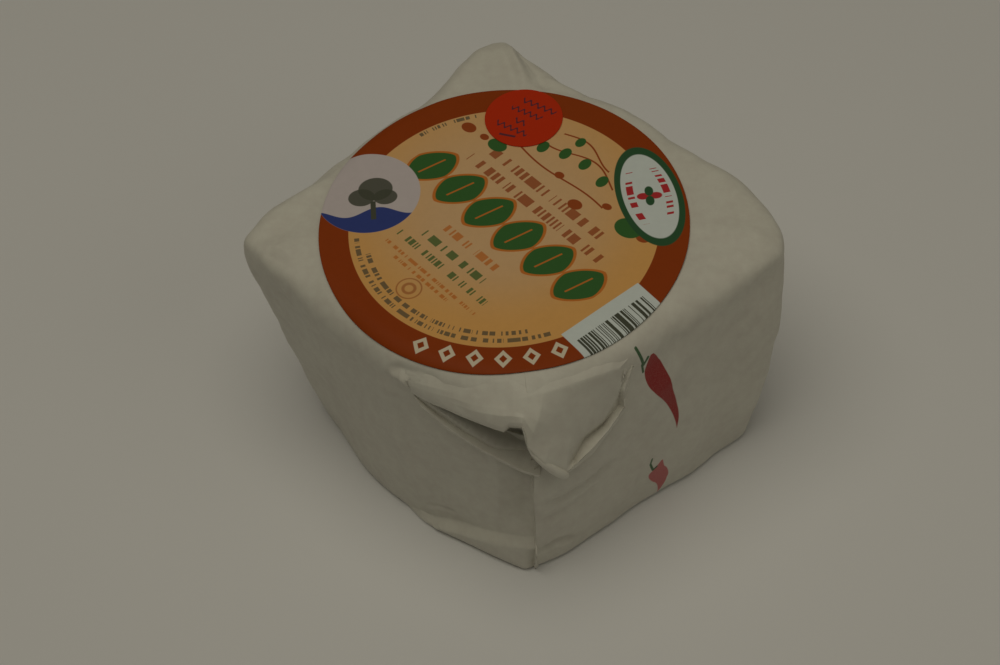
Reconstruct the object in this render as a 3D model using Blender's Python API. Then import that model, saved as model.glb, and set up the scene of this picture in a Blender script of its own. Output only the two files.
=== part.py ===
"""Round of cheese wrapped in white paper, with a round label and a dot sticker on top.

The paper makes a squarish parcel: a drum with four corners, the front one folded down and tucked.
Metres and degrees, +Z up, the front towards -Y. Azimuth 0 is +X and 90 is the back.
The parcel rests on its flat base at z = 0, and the label's centre is straight above the origin.
"""
import bpy
import numpy as np

MM = 0.001

# The cheese under the paper
HEIGHT = 78 * MM
CORE_RADIUS = 60 * MM
CORE_X = 2 * MM
CORE_Y = 1 * MM

# Edges of the parcel: the level top ends at FLAT_TOP, and the paper turns down over SHOULDER
FLAT_TOP = 52 * MM
SHOULDER = 9 * MM
FOOT = 3 * MM
SOFT_EDGE = 2.0  # exponent of the shoulder's outline over the drum
CRISP_EDGE = 1.6  # what a full corner adds to that exponent
FULL_CORNER = 18 * MM  # how far a full corner stands out of the drum

# Corners of the paper, given at these heights: azimuth, and for the side before and the side after
# the corner its reach from the cheese's axis, its width and its fullness. Width 1 and fullness 1
# make a flat panel from the corner to where it touches the drum.
LEVELS = [0 * MM, 20 * MM, 40 * MM, 60 * MM, 78 * MM]
RIGHT_REACH = [74 * MM, 78 * MM, 80.5 * MM, 82 * MM, 79.5 * MM]
BACK_REACH = [66 * MM, 69 * MM, 73 * MM, 78 * MM, 80 * MM]
LEFT_REACH = [64 * MM, 69 * MM, 73.5 * MM, 79 * MM, 81.5 * MM]
FLAP_REACH = [72 * MM, 71.5 * MM, 70 * MM, 66.5 * MM, 64 * MM]
SUNKEN_REACH = [71 * MM, 67.5 * MM, 66 * MM, 65 * MM, 64 * MM]
CORNERS = {
    "right": {
        "azimuth": [337, 339, 342, 346, 350],
        "before": (RIGHT_REACH, 1.0, 1.0),
        "after": (RIGHT_REACH, 1.0, 1.5),
    },
    "back": {
        "azimuth": [88, 88, 88, 88, 88],
        "before": (BACK_REACH, 0.68, 1.0),
        "after": (BACK_REACH, 0.65, 1.3),
    },
    "left": {
        "azimuth": [182, 182, 180, 177, 176],
        "before": (LEFT_REACH, 1.0, 1.0),
        "after": (LEFT_REACH, 1.0, 1.0),
    },
    "front": {
        "azimuth": [269, 270, 270.5, 270.5, 270],
        "before": (SUNKEN_REACH, 1.0, 1.0),
        "after": (FLAP_REACH, 1.0, 1.0),
    },
}
CORNER_ROUNDING = 2.0  # degrees over which a corner's edge is rounded

# Folds of the front corner: how far each stands out, over how wide an edge, and its outline as
# (azimuth, height) points
FOLDS = {
    "tuck": (1.2 * MM, 2.5 * MM, [(262, 47), (272, 42), (270, 56), (262, 60), (250, 64), (237, 67), (247, 58)]),
    "lip": (2.4 * MM, 2.5 * MM, [(230, 70), (244, 65), (253, 64), (264, 61), (268, 57), (266, 70), (245, 74)]),
    "ear": (2.2 * MM, 2.5 * MM, [(263, 73), (269, 61), (271, 51), (279, 39), (286, 48), (295, 60), (305, 71)]),
    "side_flap": (1.8 * MM, 12.0 * MM, [(274, -20), (274, 38), (300, 60), (317, 60), (328, -20)]),
    "foot_strip": (3.0 * MM, 4.0 * MM, [(236, -9), (238, 1), (250, 6), (267, 9), (267, -9)]),
}

# Round label and dot sticker: thin discs that follow the top
PAPER_GAP = 0.35 * MM
LABEL_RADIUS = 55 * MM
LABEL_THICKNESS = 0.3 * MM
DOT_X = 9 * MM
DOT_Y = 42 * MM
DOT_RADIUS = 12 * MM
DOT_THICKNESS = 0.2 * MM

# Spacing of the mesh's columns in degrees: over the front folds, at a corner's edge, and elsewhere
FOLDS_FROM = 226
FOLDS_TO = 308
FOLDS_STEP = 1.7
CORNER_STEP = 2.2
CORNER_SPREAD = 12.0
COARSE_STEP = 6.5
WALL_ROWS = 28
SHOULDER_ROWS = 7
FOOT_ROWS = 3
DISC_RINGS = [0.35, 0.7, 0.86, 0.91, 0.94, 0.97, 1.0]


def ease(t):
    """Smooth step: 0 up to t = 0, 1 from t = 1, level at both ends."""
    t = np.clip(t, 0.0, 1.0)
    return t * t * (3.0 - 2.0 * t)


def curve_through(x, knots, values):
    """Smooth curve through (knots, values): a cubic in each span, with the slope of its neighbours."""
    knots = np.asarray(knots, float)
    values = np.asarray(values, float)
    slopes = np.gradient(values, knots)
    i = np.clip(np.searchsorted(knots, x, side="right") - 1, 0, len(knots) - 2)
    span = knots[i + 1] - knots[i]
    t = np.clip((x - knots[i]) / span, 0.0, 1.0)
    rise = ease(t)
    return (
        values[i] * (1 - rise)
        + values[i + 1] * rise
        + span * t * (1 - t) * (slopes[i] * (1 - t) - slopes[i + 1] * t)
    )


def wall_radius(azimuth, z):
    """Reach of the paper from the cheese's axis.

    The drum's radius, or where a corner's flat panels stand out of it the distance to the panel:
    the drum's radius over the cosine of the angle left to where the panel touches the drum.
    """
    reach = np.full(np.broadcast(azimuth, z).shape, CORE_RADIUS)
    for corner in CORNERS.values():
        turn = (azimuth - curve_through(z, LEVELS, corner["azimuth"]) + 180.0) % 360.0 - 180.0
        away = np.hypot(turn, CORNER_ROUNDING) - CORNER_ROUNDING
        for side, on_side in (("before", turn < 0), ("after", turn >= 0)):
            tips, width, fullness = corner[side]
            touch = np.degrees(np.arccos(CORE_RADIUS / curve_through(z, LEVELS, tips)))
            share = np.clip(away / (touch * width), 0.0, 1.0)
            left = np.radians(touch * (1.0 - share**fullness) ** (1.0 / fullness))
            reach = np.where(on_side, np.maximum(reach, CORE_RADIUS / np.cos(left)), reach)
    return reach


def distance_inside(x, y, outline):
    """Signed distance to a closed outline in the plane, positive inside it."""
    nearest = np.full(x.shape, np.inf)
    inside = np.zeros(x.shape, bool)
    for (ax, ay), (bx, by) in zip(outline, outline[1:] + outline[:1]):
        dx, dy = bx - ax, by - ay
        t = np.clip(((x - ax) * dx + (y - ay) * dy) / (dx * dx + dy * dy), 0.0, 1.0)
        nearest = np.minimum(nearest, np.hypot(x - ax - t * dx, y - ay - t * dy))
        crosses = (ay > y) != (by > y)
        inside ^= crosses & (x < ax + (y - ay) * dx / (dy if dy else 1.0))
    return np.where(inside, nearest, -nearest)


def fold_relief(azimuth, z):
    """How far the folds stand out: each is a plateau over its outline, with eased edges."""
    across = np.radians(azimuth) * CORE_RADIUS + 0.0 * z
    up = z + 0.0 * azimuth
    relief = np.zeros(across.shape)
    for stand, edge, outline in FOLDS.values():
        corners = [(np.radians(turn) * CORE_RADIUS, height * MM) for turn, height in outline]
        relief += stand * ease(distance_inside(across, up, corners) / edge + 0.5)
    return relief


def shoulder_exponent(azimuth):
    """Sharpness of the shoulder: round over the drum and crisp over a corner."""
    stands_out = wall_radius(azimuth, HEIGHT - SHOULDER) - CORE_RADIUS
    return SOFT_EDGE + CRISP_EDGE * ease(stands_out / FULL_CORNER)


def top_height(x, y):
    """Height of the paper over a point of the top: level, then a superellipse down the shoulder."""
    out = np.hypot(x - CORE_X, y - CORE_Y)
    azimuth = np.degrees(np.arctan2(y - CORE_Y, x - CORE_X)) % 360.0
    power = shoulder_exponent(azimuth)
    wall = wall_radius(azimuth, HEIGHT - SHOULDER)
    share = np.clip((out - FLAT_TOP) / (wall - FLAT_TOP), 0.0, 1.0)
    return HEIGHT - SHOULDER * (1.0 - (1.0 - share**power) ** (1.0 / power))


def closed_shell(rings, start, end):
    """Closed mesh data from rings of points, each joined to the next, and a point at either end."""
    rows, columns = rings.shape[:2]
    points = np.concatenate([rings.reshape(-1, 3), [start, end]])
    here = np.arange(columns)
    beside = (here + 1) % columns
    quads = [
        np.stack([row + here, row + columns + here, row + columns + beside, row + beside], 1)
        for row in columns * np.arange(rows - 1)
    ]
    last = columns * (rows - 1)
    first_fan = np.stack([np.full(columns, rows * columns), here, beside], 1)
    last_fan = np.stack([np.full(columns, rows * columns + 1), last + beside, last + here], 1)
    faces = np.concatenate(quads).tolist() + first_fan.tolist() + last_fan.tolist()
    return points.tolist(), faces


def add_object(name, mesh_data, material, smooth_below=35.0):
    """Object with its own mesh and material, smooth where its faces meet at under the given angle."""
    mesh = bpy.data.meshes.new(name)
    mesh.from_pydata(mesh_data[0], [], mesh_data[1])
    mesh.materials.append(material)
    mesh.shade_smooth()
    mesh.set_sharp_from_angle(angle=np.radians(smooth_below))
    made = bpy.data.objects.new(name, mesh)
    bpy.context.scene.collection.objects.link(made)
    return made


def make_material(name, colour, roughness):
    """Principled material of one colour."""
    material = bpy.data.materials.new(name)
    material.use_nodes = True
    shader = material.node_tree.nodes["Principled BSDF"]
    shader.inputs["Base Color"].default_value = (*colour, 1.0)
    shader.inputs["Roughness"].default_value = roughness
    shader.inputs["Metallic"].default_value = 0.0
    material.diffuse_color = (*colour, 1.0)
    return material


def parcel_azimuths():
    """Azimuths of the parcel's columns, spaced by the step wanted at each place.

    Their number is the integral of one over the step, and they lie at equal shares of it.
    """
    azimuth = np.linspace(0.0, 360.0, 3601)
    step = np.where((azimuth > FOLDS_FROM) & (azimuth < FOLDS_TO), FOLDS_STEP, COARSE_STEP)
    for corner in CORNERS.values():
        away = np.abs((azimuth - np.mean(corner["azimuth"]) + 180.0) % 360.0 - 180.0)
        near = CORNER_STEP + (COARSE_STEP - CORNER_STEP) * ease(away / CORNER_SPREAD - 0.5)
        step = np.minimum(step, near)
    passed = np.concatenate([[0.0], np.cumsum(np.diff(azimuth) / step[1:])])
    return np.interp(np.arange(round(passed[-1])) * passed[-1] / round(passed[-1]), passed, azimuth)


def make_wrapper():
    """The wrapped cheese: rings down the shoulder, the wall and the foot, with the folds' relief."""
    azimuth = parcel_azimuths()[None, :]
    quarter = np.radians(np.linspace(0, 90, SHOULDER_ROWS + 1))[:, None]
    power = 2.0 / shoulder_exponent(azimuth)
    wall_top = wall_radius(azimuth, HEIGHT - SHOULDER)
    shoulder_z = HEIGHT - SHOULDER + SHOULDER * np.cos(quarter) ** power
    shoulder_out = FLAT_TOP + (wall_top - FLAT_TOP) * np.sin(quarter) ** power
    shoulder_out = shoulder_out + fold_relief(azimuth, shoulder_z) * np.sin(quarter)

    wall_z = np.linspace(HEIGHT - SHOULDER, FOOT, WALL_ROWS + 1)[1:, None] + 0.0 * azimuth
    wall_out = wall_radius(azimuth, wall_z) + fold_relief(azimuth, wall_z)

    turn = np.radians(np.linspace(0, 90, FOOT_ROWS + 1))[1:, None]
    foot_z = FOOT - FOOT * np.sin(turn) + 0.0 * azimuth
    foot_out = wall_radius(azimuth, foot_z) + fold_relief(azimuth, foot_z) - FOOT * (1 - np.cos(turn))

    out = np.concatenate([shoulder_out, wall_out, foot_out])
    z = np.concatenate([shoulder_z, wall_z, foot_z])
    z[-1] = 0.0
    x = CORE_X + out * np.cos(np.radians(azimuth))
    y = CORE_Y + out * np.sin(np.radians(azimuth))
    shell = closed_shell(np.stack([x, y, z], -1), (CORE_X, CORE_Y, HEIGHT), (CORE_X, CORE_Y, 0.0))
    return add_object("wrapper", shell, make_material("wrapping_paper", (0.74, 0.71, 0.63), 0.55))


def disc_shell(middle_x, middle_y, radius, lift, thickness, columns):
    """Thin disc that lies over the top of the parcel, lift above the paper."""
    angle = np.radians(np.arange(columns) * 360.0 / columns)[None, :]
    out = radius * np.array(DISC_RINGS)[:, None]
    x = middle_x + out * np.cos(angle)
    y = middle_y + out * np.sin(angle)
    under = top_height(x, y) + lift
    upper_side = np.stack([x, y, under + thickness], -1)
    lower_side = np.stack([x, y, under], -1)[::-1]
    middle = float(top_height(np.array(middle_x), np.array(middle_y))) + lift
    rings = np.concatenate([upper_side, lower_side])
    return closed_shell(rings, (middle_x, middle_y, middle + thickness), (middle_x, middle_y, middle))


def make_label():
    """Round paper label that covers most of the top."""
    shell = disc_shell(0.0, 0.0, LABEL_RADIUS, PAPER_GAP, LABEL_THICKNESS, 60)
    return add_object("label", shell, make_material("label_print", (0.62, 0.36, 0.15), 0.45))


def make_dot_sticker():
    """Small red sticker at the back of the label."""
    lift = 2 * PAPER_GAP + LABEL_THICKNESS
    shell = disc_shell(DOT_X, DOT_Y, DOT_RADIUS, lift, DOT_THICKNESS, 36)
    return add_object("dot_sticker", shell, make_material("dot_red", (0.70, 0.06, 0.03), 0.45))


def main():
    for old in list(bpy.context.scene.objects):
        bpy.data.objects.remove(old, do_unlink=True)
    make_wrapper()
    make_label()
    make_dot_sticker()


main()
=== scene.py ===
"""Looks of a round of cheese wrapped in white paper, with a round label and a dot sticker.

Everything is in metres in the parcel's own frame: +Z up, the front towards -Y, the flat base at
z = 0 and the label's middle straight above the origin. An azimuth is in degrees about the cheese's
axis: 0 is +X, 90 the back and 270 the front.
"""

import bpy
import numpy as np
from bpy.props import FloatProperty, FloatVectorProperty, IntProperty, PointerProperty
from mathutils import Matrix


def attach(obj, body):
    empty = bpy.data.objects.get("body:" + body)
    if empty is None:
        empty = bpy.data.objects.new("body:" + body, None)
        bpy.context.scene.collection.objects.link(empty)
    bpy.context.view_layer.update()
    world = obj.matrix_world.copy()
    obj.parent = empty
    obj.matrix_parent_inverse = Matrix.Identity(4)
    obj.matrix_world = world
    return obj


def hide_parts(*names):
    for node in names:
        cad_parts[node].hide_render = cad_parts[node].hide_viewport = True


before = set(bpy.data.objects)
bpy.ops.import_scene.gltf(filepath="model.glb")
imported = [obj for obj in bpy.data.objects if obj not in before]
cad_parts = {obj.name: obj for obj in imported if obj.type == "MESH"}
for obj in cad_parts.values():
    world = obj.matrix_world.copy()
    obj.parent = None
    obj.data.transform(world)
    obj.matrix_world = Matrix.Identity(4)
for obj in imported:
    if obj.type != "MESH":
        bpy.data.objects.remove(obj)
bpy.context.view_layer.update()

bl_info = {
    "name": "Wrapped cheese round",
    "version": (1, 0, 0),
    "blender": (4, 5, 0),
    "location": "3D View > Sidebar > Cheese",
    "description": "Paper, folded corner, round label and dot sticker of a wrapped cheese",
    "category": "Object",
}

MM = 0.001
BODY = "root"

# The parcel's form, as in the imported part
HEIGHT = 78 * MM
CORE_RADIUS = 60 * MM
CORE_X = 2 * MM
CORE_Y = 1 * MM
FLAT_TOP = 52 * MM
SHOULDER = 9 * MM
FOOT = 3 * MM
SOFT_EDGE = 2.15
CRISP_EDGE = 2.8
SOLID_SOFT_EDGE = 2.0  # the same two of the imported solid, which the loose layers stand out from
SOLID_CRISP_EDGE = 1.6
FULL_CORNER = 18 * MM
LEVELS = [0 * MM, 20 * MM, 40 * MM, 60 * MM, 78 * MM]
RIGHT_REACH = [74 * MM, 78 * MM, 80.5 * MM, 82 * MM, 79.5 * MM]
BACK_REACH = [66 * MM, 69 * MM, 73 * MM, 78 * MM, 80 * MM]
LEFT_REACH = [64 * MM, 69 * MM, 73.5 * MM, 79 * MM, 81.5 * MM]
FLAP_REACH = [72 * MM, 71.5 * MM, 70 * MM, 66.5 * MM, 64 * MM]
SUNKEN_REACH = [71 * MM, 67.5 * MM, 66 * MM, 65 * MM, 64 * MM]
CORNERS = {
    "right": ([337, 339, 342, 346, 350], (RIGHT_REACH, 1.0, 1.0), (RIGHT_REACH, 1.0, 1.5)),
    "back": ([88, 88, 88, 88, 88], (BACK_REACH, 0.68, 1.0), (BACK_REACH, 0.65, 1.3)),
    "left": ([182, 182, 180, 177, 176], (LEFT_REACH, 1.0, 1.0), (LEFT_REACH, 1.0, 1.0)),
    "front": ([269, 270, 270.5, 270.5, 270], (SUNKEN_REACH, 1.0, 1.0), (FLAP_REACH, 1.0, 1.0)),
}
CORNER_ROUNDING = 2.0
FLAP_EDGE = 270.0  # the column that follows the side flap's upright edge
FLAP_EDGE_SPREAD = 18.0

# Rows of the wrap: over the shoulder, down the wall to the ledge, over the ledge and round the foot
SHOULDER_ROWS = 25
WALL_ROWS = 62
LEDGE_ROWS = 40
LEDGE_Z = 18 * MM
FOOT_ROWS = 5
TOP_RINGS = np.array([2, 14, 28, 40, 46, 49.5, 51]) * MM
BASE_SHARES = np.array([0.8, 0.5, 0.2])

# Degrees between the wrap's columns: elsewhere, over the front folds, and at a corner's edge
COARSE_STEP = 0.80
FOLDS_STEP = 0.42
FOLDS_FROM = 226.0
FOLDS_TO = 308.0
CORNER_STEP = 0.25
EDGE_STEP = 0.06
EDGE_BAND = 0.6

# Broad folds of the wall: how far each stands out, its edge, and its (azimuth, height) outline
FOLDS = {
    "side_flap": (1.8 * MM, 12.0 * MM, [(274, -20), (274, 38), (300, 60), (317, 60), (328, -20)]),
    "pocket": (-6.0 * MM, 3.0 * MM, [
        (237, 70), (246, 71), (256, 70.5), (266, 69), (272, 66), (272, 51),
        (267, 51), (262, 52.5), (256, 55), (250, 59.5), (244, 63.5), (239, 66.5),
    ]),
}
# Ledge at the foot, left of the side flap: it grows out of the wall over its first degrees, its top
# runs through (azimuth, height) points, and it sinks back beside the flap's lower end
LEDGE_TOP = [(224.0, 0.5), (240.0, 2.4), (244.0, 4.2), (256.0, 7.6), (271.0, 12.6)]
LEDGE_GROWS = 17.0
LEDGE_STAND = 3.3 * MM
LEDGE_EDGE = 2.2 * MM
LEDGE_SINKS = 5.0

# Creases of the wall: width, height (negative for a valley) and the (azimuth, height) points
CREASES = [
    (5.0, 0.9, [(230.5, 70), (228.5, 55), (228.5, 40), (233, 26), (241, 8)]),
    (2.2, 1.3, [(229, 70), (234, 71), (238.5, 68)]),
    (2.6, -1.2, [(229, 68), (233, 73.0), (240, 74.4), (249, 73.4)]),
    (2.4, -1.5, [(269, 34), (275, 32), (283, 31), (296, 34)]),
    (3.0, -1.2, [(269, 26), (276, 25), (283, 25), (290, 28)]),
    (2.2, -1.6, [(269, 8.0), (274.5, 10.6), (281, 7)]),
    (5.0, 1.2, [(304.5, 30), (299, 16), (295, 8), (293.4, 4)]),
    (7.0, 1.0, [(317, 46), (319.3, 32), (319.5, 20), (319, 5)]),
    (2.6, -0.7, [(186.5, 66.5), (189.5, 65), (192.5, 63)]),
    (2.2, -0.5, [(184, 60), (187, 54)]),
    (1.5, -0.5, [(236, 6.5), (241, 9.5), (248, 10.5)]),
    (4.0, 0.5, [(262, 47), (256, 44), (248, 46), (241, 52)]),
    (3.0, -0.5, [(314.6, 71), (317, 69), (320, 65)]),
    (3.0, -0.45, [(296, 55), (299, 51)]),
    (3.5, -0.45, [(327, 41), (331, 37)]),
    (8.0, 0.6, [(209, 68), (206, 45), (209, 12)]),
    (5.0, -0.5, [(252, 40), (260, 36), (268, 37)]),
    (7.0, 0.7, [(62, 66), (55, 42), (57, 8)]),
    (3.0, -0.7, [(70, 62), (60, 48), (46, 44)]),
    (7.0, 0.6, [(118, 62), (124, 36), (119, 6)]),
    (3.0, -0.6, [(104, 40), (118, 30), (132, 31)]),
    (6.0, 0.6, [(14, 64), (20, 40), (16, 8)]),
    (3.0, -0.6, [(2, 44), (18, 36), (34, 40)]),
    (6.0, 0.6, [(150, 66), (146, 40), (150, 6)]),
    (3.0, -0.5, [(160, 30), (150, 22), (138, 20)]),
]

# Hollows that end at the flap's edge, given in the same way
HOLLOWS = [
    (8.0, -3.4, [(268.5, 58), (268.5, 38), (268, 22), (268, 10)]),
    (5.0, -0.8, [(266, 45), (257, 42)]),
]

# Creases of the top, seen from above: width, height and the (x, y) points in mm
TOP_CREASES = [
    (2.4, 1.6, [(5.5, 79), (8.4, 68), (11.5, 54)]),
    (3.4, -1.3, [(9, 76), (14, 64), (18, 52)]),
    (2.6, 0.9, [(14, 62), (22, 56), (30, 50)]),
    (5.0, 0.9, [(1, 78), (-8, 66), (-14, 55)]),
    (5.0, -0.8, [(-58, 8), (-70, 4), (-78, 2)]),
    (3.0, -0.8, [(-64, -8), (-72, -1)]),
    (6.0, 0.9, [(57, -8), (68, -10), (79, -13)]),
    (4.0, -0.8, [(58, -22), (70, -20)]),
    (5.0, 0.8, [(-50, 26), (-62, 18), (-76, 8)]),
    (3.0, -0.7, [(-48, 30), (-56, 26), (-66, 20)]),
    (4.0, 0.7, [(40, 42), (52, 32), (62, 18)]),
]

# Loose layers of the front corner: points picked in an enlarged crop of the photograph, as
# x and y in the crop's pixels and how far in mm the layer stands out there. The sheet's lines run from
# under the top's paper down to its free edge: the lip, the pocket, the ear and its crease.
PHOTO_WIDTH = 1000
PHOTO_HEIGHT = 665
CROP_LEFT = 360
CROP_TOP = 330
CROP_ZOOM = 4.355
SHEET_ROOT = (77.8, 54.0)  # height and reach in mm of the sheet's start under the label
SHEET_PICKS = [
    [(195, 190, -0.3), (200, 222, 0.3), (210, 240, 0.5), (215, 250, 0.5), (220, 262, 0.4), (225, 272, 0.3),
     (228, 278, -1)],
    [(300, 200, -0.2), (295, 245, 0.8), (285, 265, 1), (280, 278, 1.2), (278, 290, 1.3), (278, 300, 1.2),
     (280, 306, -0.8)],
    [(420, 215, -0.1), (412, 276, 1.2), (405, 300, 1.9), (398, 320, 2.3), (392, 338, 2.7), (390, 350, 2.8),
     (392, 356, 0)],
    [(520, 222, 0.35), (515, 298, 1.5), (508, 330, 2.4), (500, 355, 3.2), (496, 382, 3.8), (495, 394, 3.9),
     (497, 400, 0.6)],
    [(620, 225, 0.35), (620, 312, 1.7), (622, 345, 3), (618, 375, 4.2), (618, 424, 5), (622, 441, 5.1),
     (626, 446, 1.5)],
    [(665, 222, 0.35), (668, 305, 1.7), (665, 355, 3.2), (658, 375, 4), (652, 405, 4.4), (650, 418, 4.4),
     (652, 424, 1)],
    [(715, 218, 0.35), (720, 294, 1.7), (712, 368, 3.4), (710, 382, 4.2), (706, 408, 5), (704, 424, 5.2),
     (703, 430, 2.4)],
    [(800, 208, 0.35), (800, 275, 1.6), (775, 396, 3.7), (755, 450, 5.2), (742, 495, 6.6), (735, 515, 7),
     (733, 520, 4)],
    [(880, 190, 0.35), (880, 250, 1.5), (850, 432, 4), (830, 500, 5.6), (812, 560, 7.2), (805, 580, 7.6),
     (803, 586, 5)],
    [(960, 165, -0.1), (960, 224, 1.4), (920, 462, 4.2), (910, 530, 5.8), (900, 600, 7.4), (897, 622, 7.6),
     (896, 628, 5)],
    [(1020, 145, -0.1), (1020, 203, 1.3), (955, 478, 4), (945, 520, 3.9), (932, 562, 4.2), (940, 587, 6.6),
     (948, 594, 2)],
    [(1065, 128, -0.1), (1065, 190, 1.2), (985, 455, 3.6), (980, 466, 3), (976, 478, 2.2), (1018, 510, 6),
     (1030, 522, 1.4)],
    [(1100, 110, -0.1), (1100, 176, 1.1), (1060, 392, 2.5), (1056, 402, 2), (1054, 413, 1.4),
     (1084, 430, 4.4), (1096, 442, 0.4)],
    [(1130, 100, -0.2), (1130, 168, 0.9), (1120, 300, 1.4), (1122, 313, 1.1), (1126, 326, 0.8),
     (1152, 336, 2.8), (1166, 346, -0.4)],
    [(1165, 85, -0.3), (1165, 130, 0.6), (1148, 200, 0.7), (1138, 230, 0.7), (1130, 252, 0.6),
     (1150, 262, 2), (1166, 268, -0.8)],
    [(1195, 80, -0.4), (1192, 100, -0.2), (1186, 130, 0.1), (1183, 142, 0.1), (1180, 152, 0.1),
     (1190, 156, 0.6), (1202, 160, -1)],
]
TUCK_PICKS = [
    [(218, 238, -2), (224, 250, -1.2), (235, 285, 0.4), (240, 292, 0.5), (240, 296, -0.6)],
    [(300, 292, -3.5), (292, 305, -2.6), (274, 326, 0.5), (268, 338, 1.2), (266, 344, -0.6)],
    [(400, 345, -4.5), (392, 362, -3.4), (362, 394, 0.7), (352, 408, 1.8), (349, 414, -0.2)],
    [(500, 390, -5), (492, 418, -3.8), (458, 460, 0.9), (448, 473, 2.1), (445, 480, 0)],
    [(580, 420, -5), (578, 452, -4.2), (544, 512, 1.1), (533, 527, 2.4), (530, 534, 0.2)],
    [(650, 440, -5.5), (660, 482, -4.4), (630, 555, 1.3), (618, 570, 2.7), (616, 578, 0.4)],
    [(715, 460, -5.5), (730, 512, -4.2), (712, 594, 1.5), (702, 611, 3), (700, 618, 0.8)],
    [(770, 500, -5), (790, 552, -2.5), (788, 615, 1.8), (783, 635, 3.3), (782, 642, 1.4)],
]
# The rolled edge: (azimuth, height, reach) and radius, in degrees and mm
ROLL_PATH = [(269.4, 63.0, 70.8), (270.8, 60.4, 72.0), (272.9, 57.0, 73.0), (275.2, 53.2, 73.4),
             (277.2, 49.8, 73.0), (278.6, 46.6, 71.4)]
ROLL_RADII = [0.2, 0.8, 1.2, 1.4, 1.3, 0.3]
ROLL_STATIONS = 40
ROLL_AROUND = 20
RAY_STEPS = 1601
TUCK_GRID = (90, 34)
SHEET_GRID = (211, 99)

# Label and sticker
PAPER_GAP = 0.35 * MM
LABEL_RADIUS = 55 * MM
LABEL_THICKNESS = 0.3 * MM
CLEARS_OVER = 4 * MM  # the paper's facets grow in over this far from the label's rim and the base
DOT_X = 9 * MM
DOT_Y = 42 * MM
DOT_RADIUS = 12 * MM
DOT_THICKNESS = 0.2 * MM
DISC_COLUMNS = 288
RIM_STARTS = 0.995  # share of the radius where a disc's rim begins to round off

# Peppers printed on the wrap: the (azimuth, height) of top and tip, half the width in mm, and the
# width's profile from top to tip. A stalk is azimuth, height, lean, half its length and half its width.
MM_PER_DEGREE = np.pi / 180.0 * CORE_RADIUS / MM
UPPER_PROFILE = [
    (0.0, 0.15), (0.1, 0.68), (0.2, 0.96), (0.3, 1.0), (0.4, 0.86), (0.55, 0.56), (0.8, 0.27), (1.0, 0.0),
]
LOWER_PROFILE = [(0.0, 0.1), (0.2, 0.62), (0.38, 1.0), (0.5, 0.93), (0.65, 0.6), (0.83, 0.3), (1.0, 0.0)]
UPPER_POD = ((308.2, 70.2), (313.9, 31.8), 3.4, UPPER_PROFILE)
LOWER_POD = ((309.2, 19.6), (308.2, 1.6), 3.1, LOWER_PROFILE)
STALKS = [
    (304.3, 72.0, -79.0, 3.5, 0.5),
    (304.7, 66.6, -84.0, 2.3, 0.4),
    (305.9, 69.0, 50.0, 1.8, 0.5),
    (305.5, 21.9, 77.0, 1.6, 0.4),
    (305.8, 18.6, -75.0, 2.4, 0.4),
    (306.9, 17.0, 45.0, 1.2, 0.4),
]

# Layout of the print on the label, in mm from its middle, and turns in degrees
RING_INSIDE = 46.1
ROW_TURN = -51.8  # direction of the rows of print
LEAF_PITCH = 13.0
LOZENGES = 6
LOZENGES_FROM = 233.5
LOZENGE_STEP = 9.3
BADGE_AT = (44.0, 6.3)
BADGE_TURN = -81.7
PEN_TURN = -36.0

# Camera, as fitted to the label's round rims
CAMERA_AT = (-0.003728, -0.443278, 0.592591)
CAMERA_TILT = 38.0857
CAMERA_ROLL = -4.7495
CAMERA_LENS = 82.44
SENSOR_WIDTH = 36.0

# Lamps: where each stands, how wide both are and the point that both shine at
OVERHEAD_AT = (-0.12, -0.05, 1.12)
FILL_AT = (1.0, -0.6, 0.9)
LAMP_WIDTH = 1.0
LAMPS_AIM = (0.0, 0.0, 0.04)


class ParcelSizes(bpy.types.PropertyGroup):
    """Sizes of the paper and of its small folds."""

    paper_thickness: FloatProperty(
        name="Paper thickness",
        description="Thickness of the loose layers of wrapping paper",
        default=0.35 * MM,
        min=0.05 * MM,
        max=1.0 * MM,
        precision=5,
        unit="LENGTH",
        subtype="DISTANCE",
    )
    crumple: FloatProperty(
        name="Crumple",
        description="Height of the small facets all over the paper",
        default=0.34 * MM,
        min=0.0,
        max=1.0 * MM,
        precision=5,
        unit="LENGTH",
        subtype="DISTANCE",
    )
    facet: FloatProperty(
        name="Facet size",
        description="Typical distance between the small folds of the paper",
        default=17 * MM,
        min=4 * MM,
        max=60 * MM,
        unit="LENGTH",
        subtype="DISTANCE",
    )
    seed: IntProperty(
        name="Seed",
        description="Picks another set of small folds",
        default=7,
        min=0,
    )


def colour_property(name, description, default):
    """A colour as a property of three numbers."""
    return FloatVectorProperty(
        name=name, description=description, default=default, size=3, min=0.0, max=1.0, subtype="COLOR"
    )


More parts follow.
